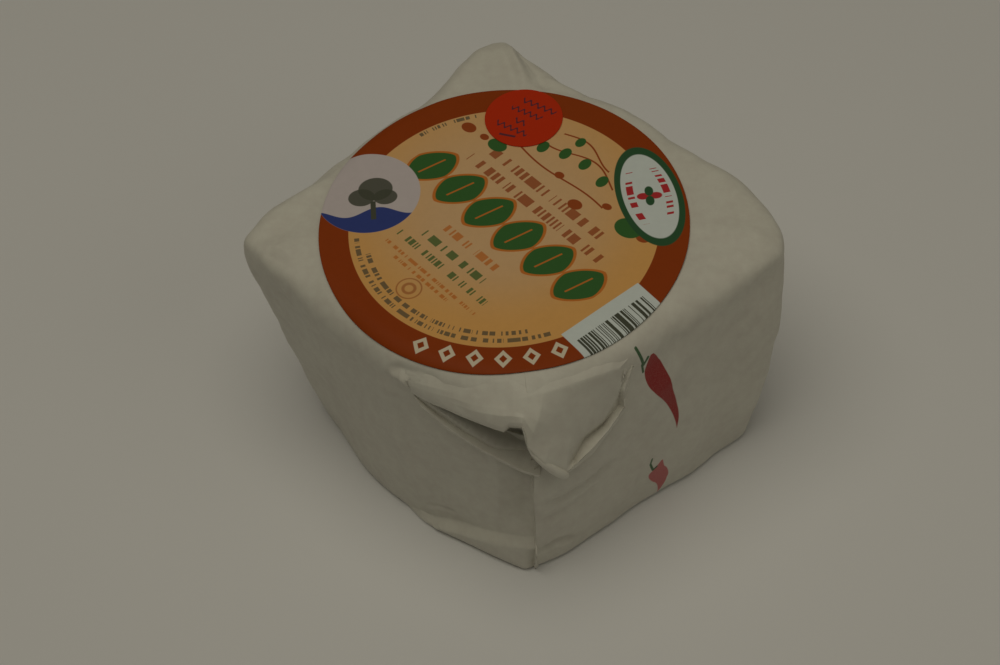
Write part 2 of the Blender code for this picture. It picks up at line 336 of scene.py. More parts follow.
class ParcelColours(bpy.types.PropertyGroup):
    """Colours of the paper and of the print."""

    paper: colour_property("Paper", "White wrapping paper", (0.685, 0.67, 0.59))
    paper_shade: colour_property("Paper shade", "Greyer blotches of the paper", (0.60, 0.565, 0.50))
    pod: colour_property("Pod red", "Peppers printed on the paper", (0.34, 0.022, 0.02))
    pod_light: colour_property("Light pod red", "Lower pepper, printed lighter", (0.53, 0.145, 0.145))
    stalk: colour_property("Stalk green", "Stalks of the peppers", (0.05, 0.13, 0.05))
    ring: colour_property("Ring", "Brown-orange rim of the label", (0.31, 0.05, 0.004))
    tan: colour_property("Tan", "Middle of the label", (0.72, 0.46, 0.235))
    tan_edge: colour_property("Tan edge", "Deeper tan towards the rim", (0.77, 0.41, 0.125))
    leaf: colour_property("Leaf green", "Large shapes on the label", (0.045, 0.145, 0.034))
    leaf_edge: colour_property("Leaf edge", "Thin outline of the large shapes", (0.62, 0.19, 0.03))
    rust: colour_property("Rust", "Lines and small spots", (0.36, 0.075, 0.015))
    fine_ink: colour_property("Fine ink", "Small dark lines", (0.08, 0.085, 0.06))
    white_ink: colour_property("White", "Unprinted white of the label", (0.69, 0.75, 0.73))
    cream_ink: colour_property("Cream", "Pale lozenges on the rim", (0.74, 0.66, 0.50))
    pale_sky: colour_property("Pale field", "Pale round field of the label", (0.61, 0.545, 0.55))
    hill_blue: colour_property("Hill blue", "Blue hills in the pale field", (0.04, 0.062, 0.25))
    badge: colour_property("Badge green", "Border of the oval badge", (0.033, 0.105, 0.042))
    badge_red: colour_property("Badge red", "Red shapes of the badge", (0.52, 0.035, 0.04))
    dot: colour_property("Dot", "Red dot sticker", (0.58, 0.034, 0.004))
    pen: colour_property("Pen", "Dark strokes on the dot", (0.05, 0.03, 0.05))
    floor: colour_property("Floor", "Pale floor", (0.80, 0.80, 0.80))
    lamp: colour_property("Lamp", "Tint of the studio light", (1.0, 0.94, 0.78))


class StudioSettings(bpy.types.PropertyGroup):
    """Strength of the soft light and size of the floor."""

    sky: FloatProperty(
        name="Sky", description="Strength of the even light from all round", default=0.07, min=0.0
    )
    overhead: FloatProperty(
        name="Overhead", description="Power of the large lamp above", default=3.3, min=0.0, unit="POWER"
    )
    fill: FloatProperty(
        name="Fill", description="Power of the weak wide lamp at the right", default=1.0, min=0.0, unit="POWER"
    )
    floor_size: FloatProperty(
        name="Floor size", description="Side of the square floor", default=8.0, min=1.0, unit="LENGTH"
    )


def ease(t):
    """Smooth step: 0 up to t = 0, 1 from t = 1, level at both ends."""
    t = np.clip(t, 0.0, 1.0)
    return t * t * (3.0 - 2.0 * t)


def curve_through(x, knots, values):
    """Smooth curve through (knots, values): a cubic in each span, with the slope of its neighbours."""
    knots = np.asarray(knots, float)
    values = np.asarray(values, float)
    slopes = np.gradient(values, knots, axis=0)
    i = np.clip(np.searchsorted(knots, x, side="right") - 1, 0, len(knots) - 2)
    span = knots[i + 1] - knots[i]
    t = np.clip((x - knots[i]) / span, 0.0, 1.0)
    extra = values.ndim - 1
    t = t.reshape(t.shape + (1,) * extra)
    span = span.reshape(span.shape + (1,) * extra)
    rise = ease(t)
    bow = slopes[i] * (1 - t) - slopes[i + 1] * t
    return values[i] * (1 - rise) + values[i + 1] * rise + span * t * (1 - t) * bow


def turn_from(azimuth, middle):
    """Turn in degrees from a middle azimuth, between -180 and 180."""
    return (azimuth - middle + 180.0) % 360.0 - 180.0


def wall_radius(azimuth, z):
    """Reach of the paper from the cheese's axis.

    The drum's radius, or where a corner's flat panels stand out of it the distance to the panel:
    the drum's radius over the cosine of the angle left to where the panel touches the drum.
    """
    reach = np.full(np.broadcast(azimuth, z).shape, CORE_RADIUS)
    for middle, before, after in CORNERS.values():
        turn = turn_from(azimuth, curve_through(z, LEVELS, middle))
        away = np.hypot(turn, CORNER_ROUNDING) - CORNER_ROUNDING
        for (tips, width, fullness), on_side in ((before, turn < 0), (after, turn >= 0)):
            touch = np.degrees(np.arccos(CORE_RADIUS / curve_through(z, LEVELS, tips)))
            share = np.clip(away / (touch * width), 0.0, 1.0)
            left = np.radians(touch * (1.0 - share**fullness) ** (1.0 / fullness))
            reach = np.where(on_side, np.maximum(reach, CORE_RADIUS / np.cos(left)), reach)
    return reach


def nearest_on_path(x, y, path, closed=False):
    """Distance to a path of points in the plane, and how far along it the nearest point is (0 to 1)."""
    ends = path[1:] + path[:1] if closed else path[1:]
    nearest = np.full(x.shape, np.inf)
    along = np.zeros(x.shape)
    total = sum(np.hypot(bx - ax, by - ay) for (ax, ay), (bx, by) in zip(path, ends))
    passed = 0.0
    for (ax, ay), (bx, by) in zip(path, ends):
        dx, dy = bx - ax, by - ay
        t = np.clip(((x - ax) * dx + (y - ay) * dy) / (dx * dx + dy * dy), 0.0, 1.0)
        distance = np.hypot(x - ax - t * dx, y - ay - t * dy)
        closer = distance < nearest
        along = np.where(closer, (passed + t * np.hypot(dx, dy)) / total, along)
        nearest = np.minimum(nearest, distance)
        passed += np.hypot(dx, dy)
    return nearest, along


def distance_inside(x, y, outline):
    """Signed distance to a closed outline in the plane, positive inside it."""
    nearest, _ = nearest_on_path(x, y, outline, closed=True)
    inside = np.zeros(x.shape, bool)
    for (ax, ay), (bx, by) in zip(outline, outline[1:] + outline[:1]):
        dx, dy = bx - ax, by - ay
        crosses = (ay > y) != (by > y)
        inside ^= crosses & (x < ax + (y - ay) * dx / (dy if dy else 1.0))
    return np.where(inside, nearest, -nearest)


def on_drum(points):
    """(azimuth, height in mm) points as (arc, height) on the drum, in metres."""
    return [(np.radians(turn) * CORE_RADIUS, height * MM) for turn, height in points]


def crease_height(x, y, width, height, path):
    """Height of a crease: a ridge whose sides fall in a straight line, fading out at its two ends."""
    distance, along = nearest_on_path(x, y, path)
    fade = ease(along * 4.0) * ease((1.0 - along) * 4.0)
    fade = np.maximum(fade, 0.15)
    peak = np.clip(1.0 - np.hypot(distance, 0.12 * width) / width, 0.0, 1.0)
    return height * fade * peak


def wall_relief(azimuth, z):
    """How far the wall's folds stand out: plateaus over outlines with eased edges, and creases."""
    across = np.radians(azimuth) * CORE_RADIUS + 0.0 * z
    up = z + 0.0 * azimuth
    relief = np.zeros(across.shape)
    for stand, edge, outline in FOLDS.values():
        relief += stand * ease(distance_inside(across, up, on_drum(outline)) / edge + 0.5)
    for width, height, path in CREASES:
        relief += crease_height(across, up, width * MM, height * MM, on_drum(path))
    starts, ends = LEDGE_TOP[0][0], LEDGE_TOP[-1][0]
    ledge_top = np.interp(azimuth, *np.transpose(LEDGE_TOP)) * MM
    sinks = ease(1.0 - (ends - azimuth) / LEDGE_SINKS) * (1.0 - ease(up / (LEDGE_TOP[-1][1] * MM)))
    before_flap = LEDGE_STAND * ease((azimuth - starts) / LEDGE_GROWS) * (1.0 - 0.9 * sinks)
    before_flap = before_flap * ease((ledge_top - up) / LEDGE_EDGE + 0.5)
    for width, height, path in HOLLOWS:
        before_flap += crease_height(across, up, width * MM, height * MM, on_drum(path))
    return relief + np.where(azimuth < FLAP_EDGE, before_flap, 0.0)


def facets(points, size, seed, layers=9):
    """Small facets of crumpled paper, about -1 to 1.

    The sum of triangle waves across the point in seeded directions: it is flat in pieces, which
    meet in straight folds.
    """
    rng = np.random.default_rng(seed)
    total = np.zeros(points.shape[:-1])
    for _ in range(layers):
        direction = rng.normal(size=3)
        direction /= np.linalg.norm(direction)
        wave = size * rng.uniform(0.7, 1.9)
        phase = points @ direction / wave + rng.uniform()
        total += 4.0 * np.abs(phase % 1.0 - 0.5) - 1.0
    return total / np.sqrt(layers)


def shoulder_exponent(azimuth):
    """Sharpness of the shoulder: round over the drum and crisp over a corner."""
    stands_out = wall_radius(azimuth, HEIGHT - SHOULDER) - CORE_RADIUS
    return SOFT_EDGE + CRISP_EDGE * ease(stands_out / FULL_CORNER)


def top_height(x, y):
    """Height of the paper over a point of the top: level, then a superellipse down the shoulder."""
    out = np.hypot(x - CORE_X, y - CORE_Y)
    azimuth = np.degrees(np.arctan2(y - CORE_Y, x - CORE_X)) % 360.0
    power = shoulder_exponent(azimuth)
    wall = wall_radius(azimuth, HEIGHT - SHOULDER)
    share = np.clip((out - FLAT_TOP) / (wall - FLAT_TOP), 0.0, 1.0)
    return HEIGHT - SHOULDER * (1.0 - (1.0 - share**power) ** (1.0 / power))


def normals_of(points):
    """Unit normals of a grid of points, from the steps to its neighbours."""
    down = np.gradient(points, axis=0)
    beside = np.gradient(points, axis=1)
    normal = np.cross(down, beside)
    return normal / np.maximum(np.linalg.norm(normal, axis=-1, keepdims=True), 1e-12)


def grid_faces(rows, columns, closed):
    """Quads of a grid of points, row by row. A closed grid's last column joins its first."""
    here = np.arange(columns if closed else columns - 1)
    beside = (here + 1) % columns
    start = columns * np.arange(rows - 1)[:, None]
    corners = [start + here, start + columns + here, start + columns + beside, start + beside]
    return np.stack(corners, -1).reshape(-1, 4)


def shell_faces(rows, columns):
    """Faces of a closed shell: a closed grid of quads, and a fan round one more point at either end."""
    here = np.arange(columns)
    beside = (here + 1) % columns
    last = columns * (rows - 1)
    first_fan = np.stack([np.full(columns, rows * columns), here, beside], 1)
    last_fan = np.stack([np.full(columns, rows * columns + 1), last + beside, last + here], 1)
    return grid_faces(rows, columns, True).tolist() + first_fan.tolist() + last_fan.tolist()


def make_piece(name, points, faces, material, replaced=(), smooth_below=40.0):
    """Mesh object at the origin that rides on the body, holds its material and stands for CAD nodes."""
    mesh = bpy.data.meshes.new(name)
    mesh.from_pydata(points.reshape(-1, 3).tolist(), [], faces)
    mesh.materials.append(material)
    mesh.shade_smooth()
    mesh.set_sharp_from_angle(angle=np.radians(smooth_below))
    piece = bpy.data.objects.new(name, mesh)
    bpy.context.scene.collection.objects.link(piece)
    if replaced:
        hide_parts(*replaced)
    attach(piece, BODY)
    return piece


def add_wrap_map(mesh, azimuth, height):
    """UV map of the wrap: degrees of azimuth and height in mm, both divided by 100."""
    layer = mesh.uv_layers.new(name="wrap")
    corner_vertex = np.empty(len(mesh.loops), np.int32)
    mesh.loops.foreach_get("vertex_index", corner_vertex)
    face_of = np.repeat(np.arange(len(mesh.polygons)), [p.loop_total for p in mesh.polygons])
    turn = azimuth[corner_vertex]
    widest = np.zeros(len(mesh.polygons))
    np.maximum.at(widest, face_of, turn)
    turn = np.where(widest[face_of] - turn > 180.0, turn + 360.0, turn)
    pairs = np.stack([turn / 100.0, height[corner_vertex] / MM / 100.0], -1)
    layer.data.foreach_set("uv", pairs.astype(np.float32).ravel())


def wrap_azimuths():
    """Azimuths of the wrap's columns: they lie at equal shares of the integral of one over the step."""
    azimuth = np.linspace(0.0, 360.0, 7201)
    step = np.full(azimuth.shape, COARSE_STEP)
    step = np.where((azimuth > FOLDS_FROM) & (azimuth < FOLDS_TO), FOLDS_STEP, step)
    for middle, _, _ in CORNERS.values():
        away = np.abs(turn_from(azimuth, np.mean(middle)))
        step = np.minimum(step, CORNER_STEP + (COARSE_STEP - CORNER_STEP) * ease(away / 9.0 - 0.3))
    step = np.where(np.abs(azimuth - FLAP_EDGE) < EDGE_BAND, EDGE_STEP, step)
    passed = np.concatenate([[0.0], np.cumsum(np.diff(azimuth) / step[1:])])
    count = round(passed[-1])
    return np.interp(np.arange(count) * passed[-1] / count, passed, azimuth)


def make_paper_wrap(sizes, material):
    """The paper round the cheese.

    Each column is a profile at one azimuth: out over the level top, down a superellipse, down the
    wall, in at the foot and back to the axis. Folds push the wall out, and creases of the top and
    small facets push the surface along its normal. Columns near the front flap follow its edge.
    """
    column = wrap_azimuths()[None, :]
    quarter = np.radians(np.linspace(0, 90, SHOULDER_ROWS))[:, None]
    power = 2.0 / shoulder_exponent(column)
    wall_top = wall_radius(column, HEIGHT - SHOULDER)
    shoulder_z = HEIGHT - SHOULDER + SHOULDER * np.cos(quarter) ** power
    shoulder_out = FLAT_TOP + (wall_top - FLAT_TOP) * np.sin(quarter) ** power
    shoulder_out = shoulder_out + wall_relief(column, shoulder_z) * np.sin(quarter)

    above = np.linspace(HEIGHT - SHOULDER, LEDGE_Z, WALL_ROWS)[1:]
    below = np.linspace(LEDGE_Z, FOOT, LEDGE_ROWS)[1:]
    wall_z = np.concatenate([above, below])[:, None]
    follow = curve_through(wall_z, LEVELS, CORNERS["front"][0]) - FLAP_EDGE
    column_there = column + follow * ease(1.0 - np.abs(column - FLAP_EDGE) / FLAP_EDGE_SPREAD)
    wall_z = wall_z + 0.0 * column
    wall_out = wall_radius(column_there, wall_z) + wall_relief(column_there, wall_z)

    turn = np.radians(np.linspace(0, 90, FOOT_ROWS))[1:, None]
    foot_z = FOOT - FOOT * np.sin(turn) + 0.0 * column
    foot_turn = column_there[-1:] + 0.0 * turn
    foot_out = wall_radius(foot_turn, foot_z) + wall_relief(foot_turn, foot_z) - FOOT * (1 - np.cos(turn))
    share = BASE_SHARES[:, None]
    top_out = TOP_RINGS[:, None] + 0.0 * column

    out = np.concatenate([top_out, shoulder_out, wall_out, foot_out, foot_out[-1:] * share])
    z = np.concatenate([HEIGHT + 0.0 * top_out, shoulder_z, wall_z, foot_z, 0.0 * share + 0.0 * column])
    turns = np.concatenate(
        [column + 0.0 * top_out, column + 0.0 * quarter, column_there, foot_turn, foot_turn[-1:] + 0.0 * share]
    )
    x = CORE_X + out * np.cos(np.radians(turns))
    y = CORE_Y + out * np.sin(np.radians(turns))
    points = np.stack([x, y, z], -1)

    closed = np.concatenate([points[:, -1:], points, points[:, :1]], 1)
    normal = normals_of(closed)[:, 1:-1]
    clear_of_label = ease((np.hypot(x, y) - LABEL_RADIUS) / CLEARS_OVER)
    push = sizes.crumple * facets(points, sizes.facet, sizes.seed)
    push += 0.3 * sizes.crumple * facets(points, 0.42 * sizes.facet, sizes.seed + 1)
    push *= ease(z / CLEARS_OVER) * (0.12 + 0.88 * clear_of_label)
    on_top = ease((z - (HEIGHT - SHOULDER)) / SHOULDER * 1.5) * clear_of_label
    for width, height, path in TOP_CREASES:
        path = [(px * MM, py * MM) for px, py in path]
        push += on_top * crease_height(x, y, width * MM, height * MM, path)
    points = points + normal * push[..., None]
    points[-1 - len(BASE_SHARES) :, :, 2] = 0.0

    rows, columns = points.shape[:2]
    ends = np.array([[CORE_X, CORE_Y, HEIGHT], [CORE_X, CORE_Y, 0.0]])
    everything = np.concatenate([points.reshape(-1, 3), ends])
    wrap = make_piece(
        "paper_wrap", everything, shell_faces(rows, columns), material, ("wrapper",)
    )
    azimuth = np.concatenate([turns.ravel() % 360.0, [0.0, 0.0]])
    add_wrap_map(wrap.data, azimuth, np.concatenate([z.ravel(), [HEIGHT, 0.0]]))
    return wrap


def from_axis(turn_height_reach):
    """(azimuth, height, reach) in degrees and mm as points about the cheese's axis, in metres."""
    turn = np.radians(turn_height_reach[..., 0])
    reach = turn_height_reach[..., 2] * MM
    x = CORE_X + reach * np.cos(turn)
    y = CORE_Y + reach * np.sin(turn)
    return np.stack([x, y, turn_height_reach[..., 1] * MM], -1)


def camera_axes():
    """The camera's turn: rolled about its own axis, then tilted up from looking straight down."""
    return Matrix.Rotation(np.radians(CAMERA_TILT), 4, "X") @ Matrix.Rotation(np.radians(CAMERA_ROLL), 4, "Z")


def solid_reach(azimuth, z):
    """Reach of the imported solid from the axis: its wall, or above it the superellipse of its shoulder."""
    wall = wall_radius(azimuth, np.minimum(z, HEIGHT - SHOULDER))
    power = SOLID_SOFT_EDGE + SOLID_CRISP_EDGE * ease((wall - CORE_RADIUS) / FULL_CORNER)
    up = np.clip((z - HEIGHT + SHOULDER) / SHOULDER, 0.0, 1.0)
    return FLAT_TOP + (wall - FLAT_TOP) * (1.0 - up**power) ** (1.0 / power)


def net_of(picks):
    """Control net of a loose layer, as (azimuth, height, reach) in degrees and mm.

    The camera's ray through each picked point is followed down to the floor in small steps, and its
    point is the first that is no further out than the solid's reach plus the layer's stand.
    """
    x, y, stand = np.moveaxis(np.array(picks), -1, 0)
    focal = CAMERA_LENS / SENSOR_WIDTH * PHOTO_WIDTH
    right = (CROP_LEFT + x / CROP_ZOOM - 0.5 * PHOTO_WIDTH) / focal
    down = (CROP_TOP + y / CROP_ZOOM - 0.5 * PHOTO_HEIGHT) / focal
    ray = np.stack([right, -down, -np.ones_like(x)], -1) @ np.array(camera_axes().to_3x3()).T
    to_floor = -CAMERA_AT[2] / ray[..., 2:]
    share = np.linspace(0.8, 1.0, RAY_STEPS)
    at = np.array(CAMERA_AT) + (to_floor * share)[..., None] * ray[..., None, :]
    from_middle = at[..., :2] - np.array([CORE_X, CORE_Y])
    reach = np.hypot(from_middle[..., 0], from_middle[..., 1])
    azimuth = np.degrees(np.arctan2(from_middle[..., 1], from_middle[..., 0])) % 360.0
    stand = stand[..., None] * MM
    met = reach <= solid_reach(azimuth, at[..., 2]) + stand
    met &= at[..., 2] <= HEIGHT + 0.3 * np.maximum(stand, 0.0)
    found = np.stack([azimuth, at[..., 2] / MM, reach / MM], -1)
    return np.take_along_axis(found, met.argmax(-1)[..., None, None], -2)[..., 0, :]


def through_net(net, rows, columns, crisp):
    """Surface through a net of control points: smooth curves along its rows and then its columns.

    crisp mixes in the straight lines between the control points, which gives folded facets.
    """
    net = from_axis(net)
    for axis, count in ((0, rows), (1, columns)):
        net = np.moveaxis(net, axis, 0)
        knots = np.arange(len(net))
        at = np.linspace(0, len(net) - 1, count)
        smooth = curve_through(at, knots, net)
        i = np.clip(at.astype(int), 0, len(net) - 2)
        t = (at - i)[:, None, None]
        straight = net[i] * (1 - t) + net[i + 1] * t
        net = np.moveaxis(smooth * (1 - crisp) + straight * crisp, 0, axis)
    return net


def make_layer(name, net, grid, crisp, sizes, material):
    """A loose layer of paper: the surface through its net, with small facets and a thickness."""
    points = through_net(net, *grid, crisp)
    normal = normals_of(points)
    faces = grid_faces(*grid, False)
    outward = points - np.array([CORE_X, CORE_Y, 0.5 * HEIGHT])
    if np.sum(normal * outward) < 0:
        normal = -normal
        faces = faces[:, ::-1]
    push = 0.45 * sizes.crumple * facets(points, 0.6 * sizes.facet, sizes.seed + 5)
    points = points + normal * push[..., None]
    piece = make_piece(name, points, faces.tolist(), material)
    wall = piece.modifiers.new("thickness", "SOLIDIFY")
    wall.thickness = sizes.paper_thickness
    wall.offset = -1.0
    return piece


def make_roll(name, path, radii, sizes, material):
    """A rolled edge: a circle of changing radius carried along a smooth path, with a point at each end."""
    at = np.linspace(0, len(path) - 1, ROLL_STATIONS)
    middle = curve_through(at, np.arange(len(path)), from_axis(np.array(path, float)))
    radius = curve_through(at, np.arange(len(path)), np.array(radii)) * MM
    ahead = np.gradient(middle, axis=0)
    ahead /= np.linalg.norm(ahead, axis=1, keepdims=True)
    out = middle - np.array([CORE_X, CORE_Y, 0.0])
    out[:, 2] = 0.0
    side = np.cross(ahead, out)
    side /= np.linalg.norm(side, axis=1, keepdims=True)
    out = np.cross(side, ahead)
    angle = np.linspace(0, 2 * np.pi, ROLL_AROUND, endpoint=False)
    ring = np.cos(angle)[None, :, None] * side[:, None] + np.sin(angle)[None, :, None] * out[:, None]
    points = middle[:, None] + radius[:, None, None] * ring
    everything = np.concatenate([points.reshape(-1, 3), middle[:1], middle[-1:]])
    return make_piece(name, everything, shell_faces(ROLL_STATIONS, ROLL_AROUND), material)


def make_disc(name, middle, radius, lift, thickness, waviness, seed, material, replaced):
    """A thin disc that follows the top: rings over it and under it, with a rounded rim.

    A point of a ring lies at the top's height there plus the lift, plus a little seeded waviness.
    """
    angle = np.radians(np.arange(DISC_COLUMNS) * 360.0 / DISC_COLUMNS)[None, :]
    share = np.concatenate([np.linspace(0.02, 0.97, 60), [0.985, RIM_STARTS, 0.999, 1.0]])[:, None]
    share = np.concatenate([share, share[::-1]])
    half = len(share) // 2
    rim = np.clip((share[:half] - RIM_STARTS) / (1.0 - RIM_STARTS), 0.0, 1.0)
    upper = thickness * (1.0 - 0.35 * rim**2)
    over = np.concatenate([upper, 0.0 * upper])
    x = middle[0] + radius * share * np.cos(angle)
    y = middle[1] + radius * share * np.sin(angle)
    flat = np.stack([x, y, 0.0 * x], -1)
    wave = waviness * (facets(flat, 21 * MM, seed) * 0.5 + 0.5)
    z = top_height(x, y) + lift + over + wave
    points = np.stack([x, y, z], -1)
    centre = float(top_height(np.array(middle[0]), np.array(middle[1]))) + lift + float(wave[0].mean())
    ends = np.array([[*middle, centre + thickness], [*middle, centre]])
    everything = np.concatenate([points.reshape(-1, 3), ends])
    return make_piece(name, everything, shell_faces(len(share), DISC_COLUMNS), material, replaced)


class Graph:
    """Short names for building a node tree."""

    def __init__(self, tree):
        self.tree = tree

    def node(self, kind, inputs=None, **settings):
        """New node with its settings and inputs, each input a value or another node's output."""
        made = self.tree.nodes.new(kind)
        for name, value in settings.items():
            setattr(made, name, value)
        for key, value in (inputs or {}).items():
            self.feed(made.inputs[key], value)
        return made

    def feed(self, socket, value):
        """Links an output to a socket, or sets the socket's own value."""
        if isinstance(value, bpy.types.NodeSocket):
            self.tree.links.new(value, socket)
        elif socket.type == "RGBA" and len(value) == 3:
            socket.default_value = (*value, 1.0)
        else:
            socket.default_value = value

    def math(self, operation, a, b=0.0, c=0.0, clamp=False):
        """Output of a Math node."""
        return self.node("ShaderNodeMath", {0: a, 1: b, 2: c}, operation=operation, use_clamp=clamp).outputs[0]

    def vector(self, operation, a, b=(0.0, 0.0, 0.0)):
        """Output of a Vector Math node."""
        return self.node("ShaderNodeVectorMath", {0: a, 1: b}, operation=operation).outputs[0]

    def length(self, a):
        """Length of a vector."""
        return self.node("ShaderNodeVectorMath", {0: a}, operation="LENGTH").outputs[1]

    def split(self, a):
        """X, Y and Z of a vector."""
        return self.node("ShaderNodeSeparateXYZ", {0: a}).outputs

    def join(self, x=0.0, y=0.0, z=0.0):
        """Vector from its three parts."""
        return self.node("ShaderNodeCombineXYZ", {0: x, 1: y, 2: z}).outputs[0]

    def mix(self, share, a, b, blend="MIX"):
        """Colour between a and b."""
        made = self.node("ShaderNodeMix", {0: share}, data_type="RGBA", blend_type=blend)
        self.feed(made.inputs[6], a)
        self.feed(made.inputs[7], b)
        return made.outputs[2]

    def apart(self, a, b):
        """Distance between two values."""
        return self.math("ABSOLUTE", self.math("SUBTRACT", a, b))

    def between(self, value, low, high):
        """Mask that is 1 between two limits."""
        return self.math("LESS_THAN", self.apart(value, (low + high) / 2), (high - low) / 2)

    def below(self, value, limit, soft=0.12):
        """Mask that is 1 where the value is below the limit, with a soft edge."""
        spread = self.node(
            "ShaderNodeMapRange",
            {"Value": value, "From Min": limit - soft, "From Max": limit + soft, "To Min": 1.0, "To Max": 0.0},
            interpolation_type="SMOOTHSTEP",
        )
        return spread.outputs[0]

    def noise(self, vector, scale, detail=2.0, roughness=0.5, seed=0.0):
        """Noise value about 0.5 at a vector."""
        moved = self.vector("ADD", vector, (seed, 2.3 * seed, -1.7 * seed)) if seed else vector
        made = self.node(
            "ShaderNodeTexNoise", {"Vector": moved, "Scale": scale, "Detail": detail, "Roughness": roughness}
        )
        return made.outputs[0]

    def group(self, tree, inputs):
        """A placed node group."""
        made = self.tree.nodes.new("ShaderNodeGroup")
        made.node_tree = tree
        for key, value in inputs.items():
            self.feed(made.inputs[key], value)
        return made.outputs


def new_group(name, inputs, outputs):
    """Empty shader node group with its sockets, its graph and the nodes at its two ends."""
    tree = bpy.data.node_groups.new(name, "ShaderNodeTree")
    for key, kind, default in inputs:
        socket = tree.interface.new_socket(name=key, in_out="INPUT", socket_type=kind)
        if default is not None:
            socket.default_value = default
    for key, kind in outputs:
        tree.interface.new_socket(name=key, in_out="OUTPUT", socket_type=kind)
    source = tree.nodes.new("NodeGroupInput")
    sink = tree.nodes.new("NodeGroupOutput")
    return tree, Graph(tree), source.outputs, sink.inputs


def local_point(g, point, centre, turn):
    """A point in the frame of a shape: moved by its centre and turned back by its turn."""
    moved = g.vector("SUBTRACT", point, centre)
    back = g.math("MULTIPLY", turn, -np.pi / 180.0)
    turned = g.node("ShaderNodeVectorRotate", {"Vector": moved, "Angle": back}, rotation_type="Z_AXIS")
    return turned.outputs[0]


def oval_group():
    """Oval field: 1 where the length of (point / radii) is below 1. Distances are in mm."""
    tree, g, given, result = new_group(
        "oval field",
        [("Point", "NodeSocketVector", None), ("Centre", "NodeSocketVector", None),
         ("Turn", "NodeSocketFloat", 0.0), ("Radii", "NodeSocketVector", (1.0, 1.0, 1.0))],
        [("Mask", "NodeSocketFloat"), ("Local", "NodeSocketVector"), ("Reach", "NodeSocketFloat")],
    )
    local = local_point(g, given["Point"], given["Centre"], given["Turn"])
    reach = g.length(g.vector("DIVIDE", local, given["Radii"]))
    small = g.math("MULTIPLY", g.math("SUBTRACT", reach, 1.0), g.split(given["Radii"])[1])
    g.feed(result["Mask"], g.below(small, 0.0))
    g.feed(result["Local"], local)
    g.feed(result["Reach"], reach)
    return tree


def bar_group():
    """Bar field: 1 within half a length and half a height of the centre, its corners rounded off."""
    tree, g, given, result = new_group(
        "bar field",
        [("Point", "NodeSocketVector", None), ("Centre", "NodeSocketVector", None),
         ("Turn", "NodeSocketFloat", 0.0), ("Half", "NodeSocketVector", (1.0, 1.0, 0.0)),
         ("Round", "NodeSocketFloat", 0.2)],
        [("Mask", "NodeSocketFloat"), ("Local", "NodeSocketVector")],
    )
    local = local_point(g, given["Point"], given["Centre"], given["Turn"])
    flat = g.vector("MULTIPLY", local, (1.0, 1.0, 0.0))
    inner = g.vector("SUBTRACT", given["Half"], g.join(given["Round"], given["Round"]))
    past = g.vector("MAXIMUM", g.vector("SUBTRACT", g.vector("ABSOLUTE", flat), inner))
    distance = g.math("SUBTRACT", g.length(past), given["Round"])
    g.feed(result["Mask"], g.below(distance, 0.0))
    g.feed(result["Local"], local)
    return tree


def ticks_group():
    """Row of plain ticks: seeded cells of a width along a line, with wider gaps at a steady pace."""
    tree, g, given, result = new_group(
        "tick row",
        [("Along", "NodeSocketFloat", 0.0), ("Tick", "NodeSocketFloat", 1.0), ("Gap", "NodeSocketFloat", 6.0),
         ("Seed", "NodeSocketFloat", 0.0)],
        [("Mask", "NodeSocketFloat")],
    )

    def cells(width, keep, shift):
        cell = g.math("FLOOR", g.math("DIVIDE", given["Along"], width))
        place = g.join(cell, given["Seed"], shift)
        chance = g.node("ShaderNodeTexWhiteNoise", {"Vector": place}, noise_dimensions="3D").outputs[0]
        return g.math("GREATER_THAN", chance, keep)

    ticks = cells(given["Tick"], 0.36, 1.0)
    part = g.math("FRACT", g.math("DIVIDE", given["Along"], given["Gap"]))
    words = g.math("GREATER_THAN", part, 0.16)
    g.feed(result["Mask"], g.math("MULTIPLY", ticks, words))
    return tree


def paper_grain_group():
    """Blotches and grain of a paper: slow cloudy blotches, fine grain, and both as one height."""
    tree, g, given, result = new_group(
        "paper grain",
        [("Point", "NodeSocketVector", None), ("Blotch", "NodeSocketFloat", 4.0),
         ("Grain", "NodeSocketFloat", 0.5)],
        [("Blotches", "NodeSocketFloat"), ("Fine", "NodeSocketFloat"), ("Height", "NodeSocketFloat")],
    )
    one_per = g.math("DIVIDE", 1.0, given["Blotch"])
    blotches = g.noise(given["Point"], one_per, detail=3.0, roughness=0.6, seed=3.1)
    fine = g.noise(given["Point"], g.math("DIVIDE", 1.0, given["Grain"]), detail=2.0, roughness=0.7, seed=7.7)
    height = g.math("ADD", g.math("MULTIPLY", blotches, 0.5), g.math("MULTIPLY", fine, 0.12))
    g.feed(result["Blotches"], blotches)
    g.feed(result["Fine"], fine)
    g.feed(result["Height"], height)
    return tree


def shared_groups():
    """The node groups that more than one material or shape uses, built once."""
    makers = {"oval field": oval_group, "bar field": bar_group, "tick row": ticks_group,
              "paper grain": paper_grain_group}
    return {name: bpy.data.node_groups.get(name) or make() for name, make in makers.items()}


def start_material(name):
    """Material with its graph, its Principled shader, and the object's point in mm."""
    material = bpy.data.materials.new(name)
    material.use_nodes = True
    g = Graph(material.node_tree)
    shader = material.node_tree.nodes["Principled BSDF"]
    point = g.node("ShaderNodeTexCoord").outputs["Object"]
    return material, g, shader, g.vector("MULTIPLY", point, (1000.0, 1000.0, 1000.0))


def finish_paper(g, shader, colour, height, strength, distance):
    """Feeds colour and bump to the shader."""
    g.feed(shader.inputs["Base Color"], colour)
    bump = g.node("ShaderNodeBump", {"Strength": strength, "Distance": distance, "Height": height})
    g.feed(shader.inputs["Normal"], bump.outputs[0])


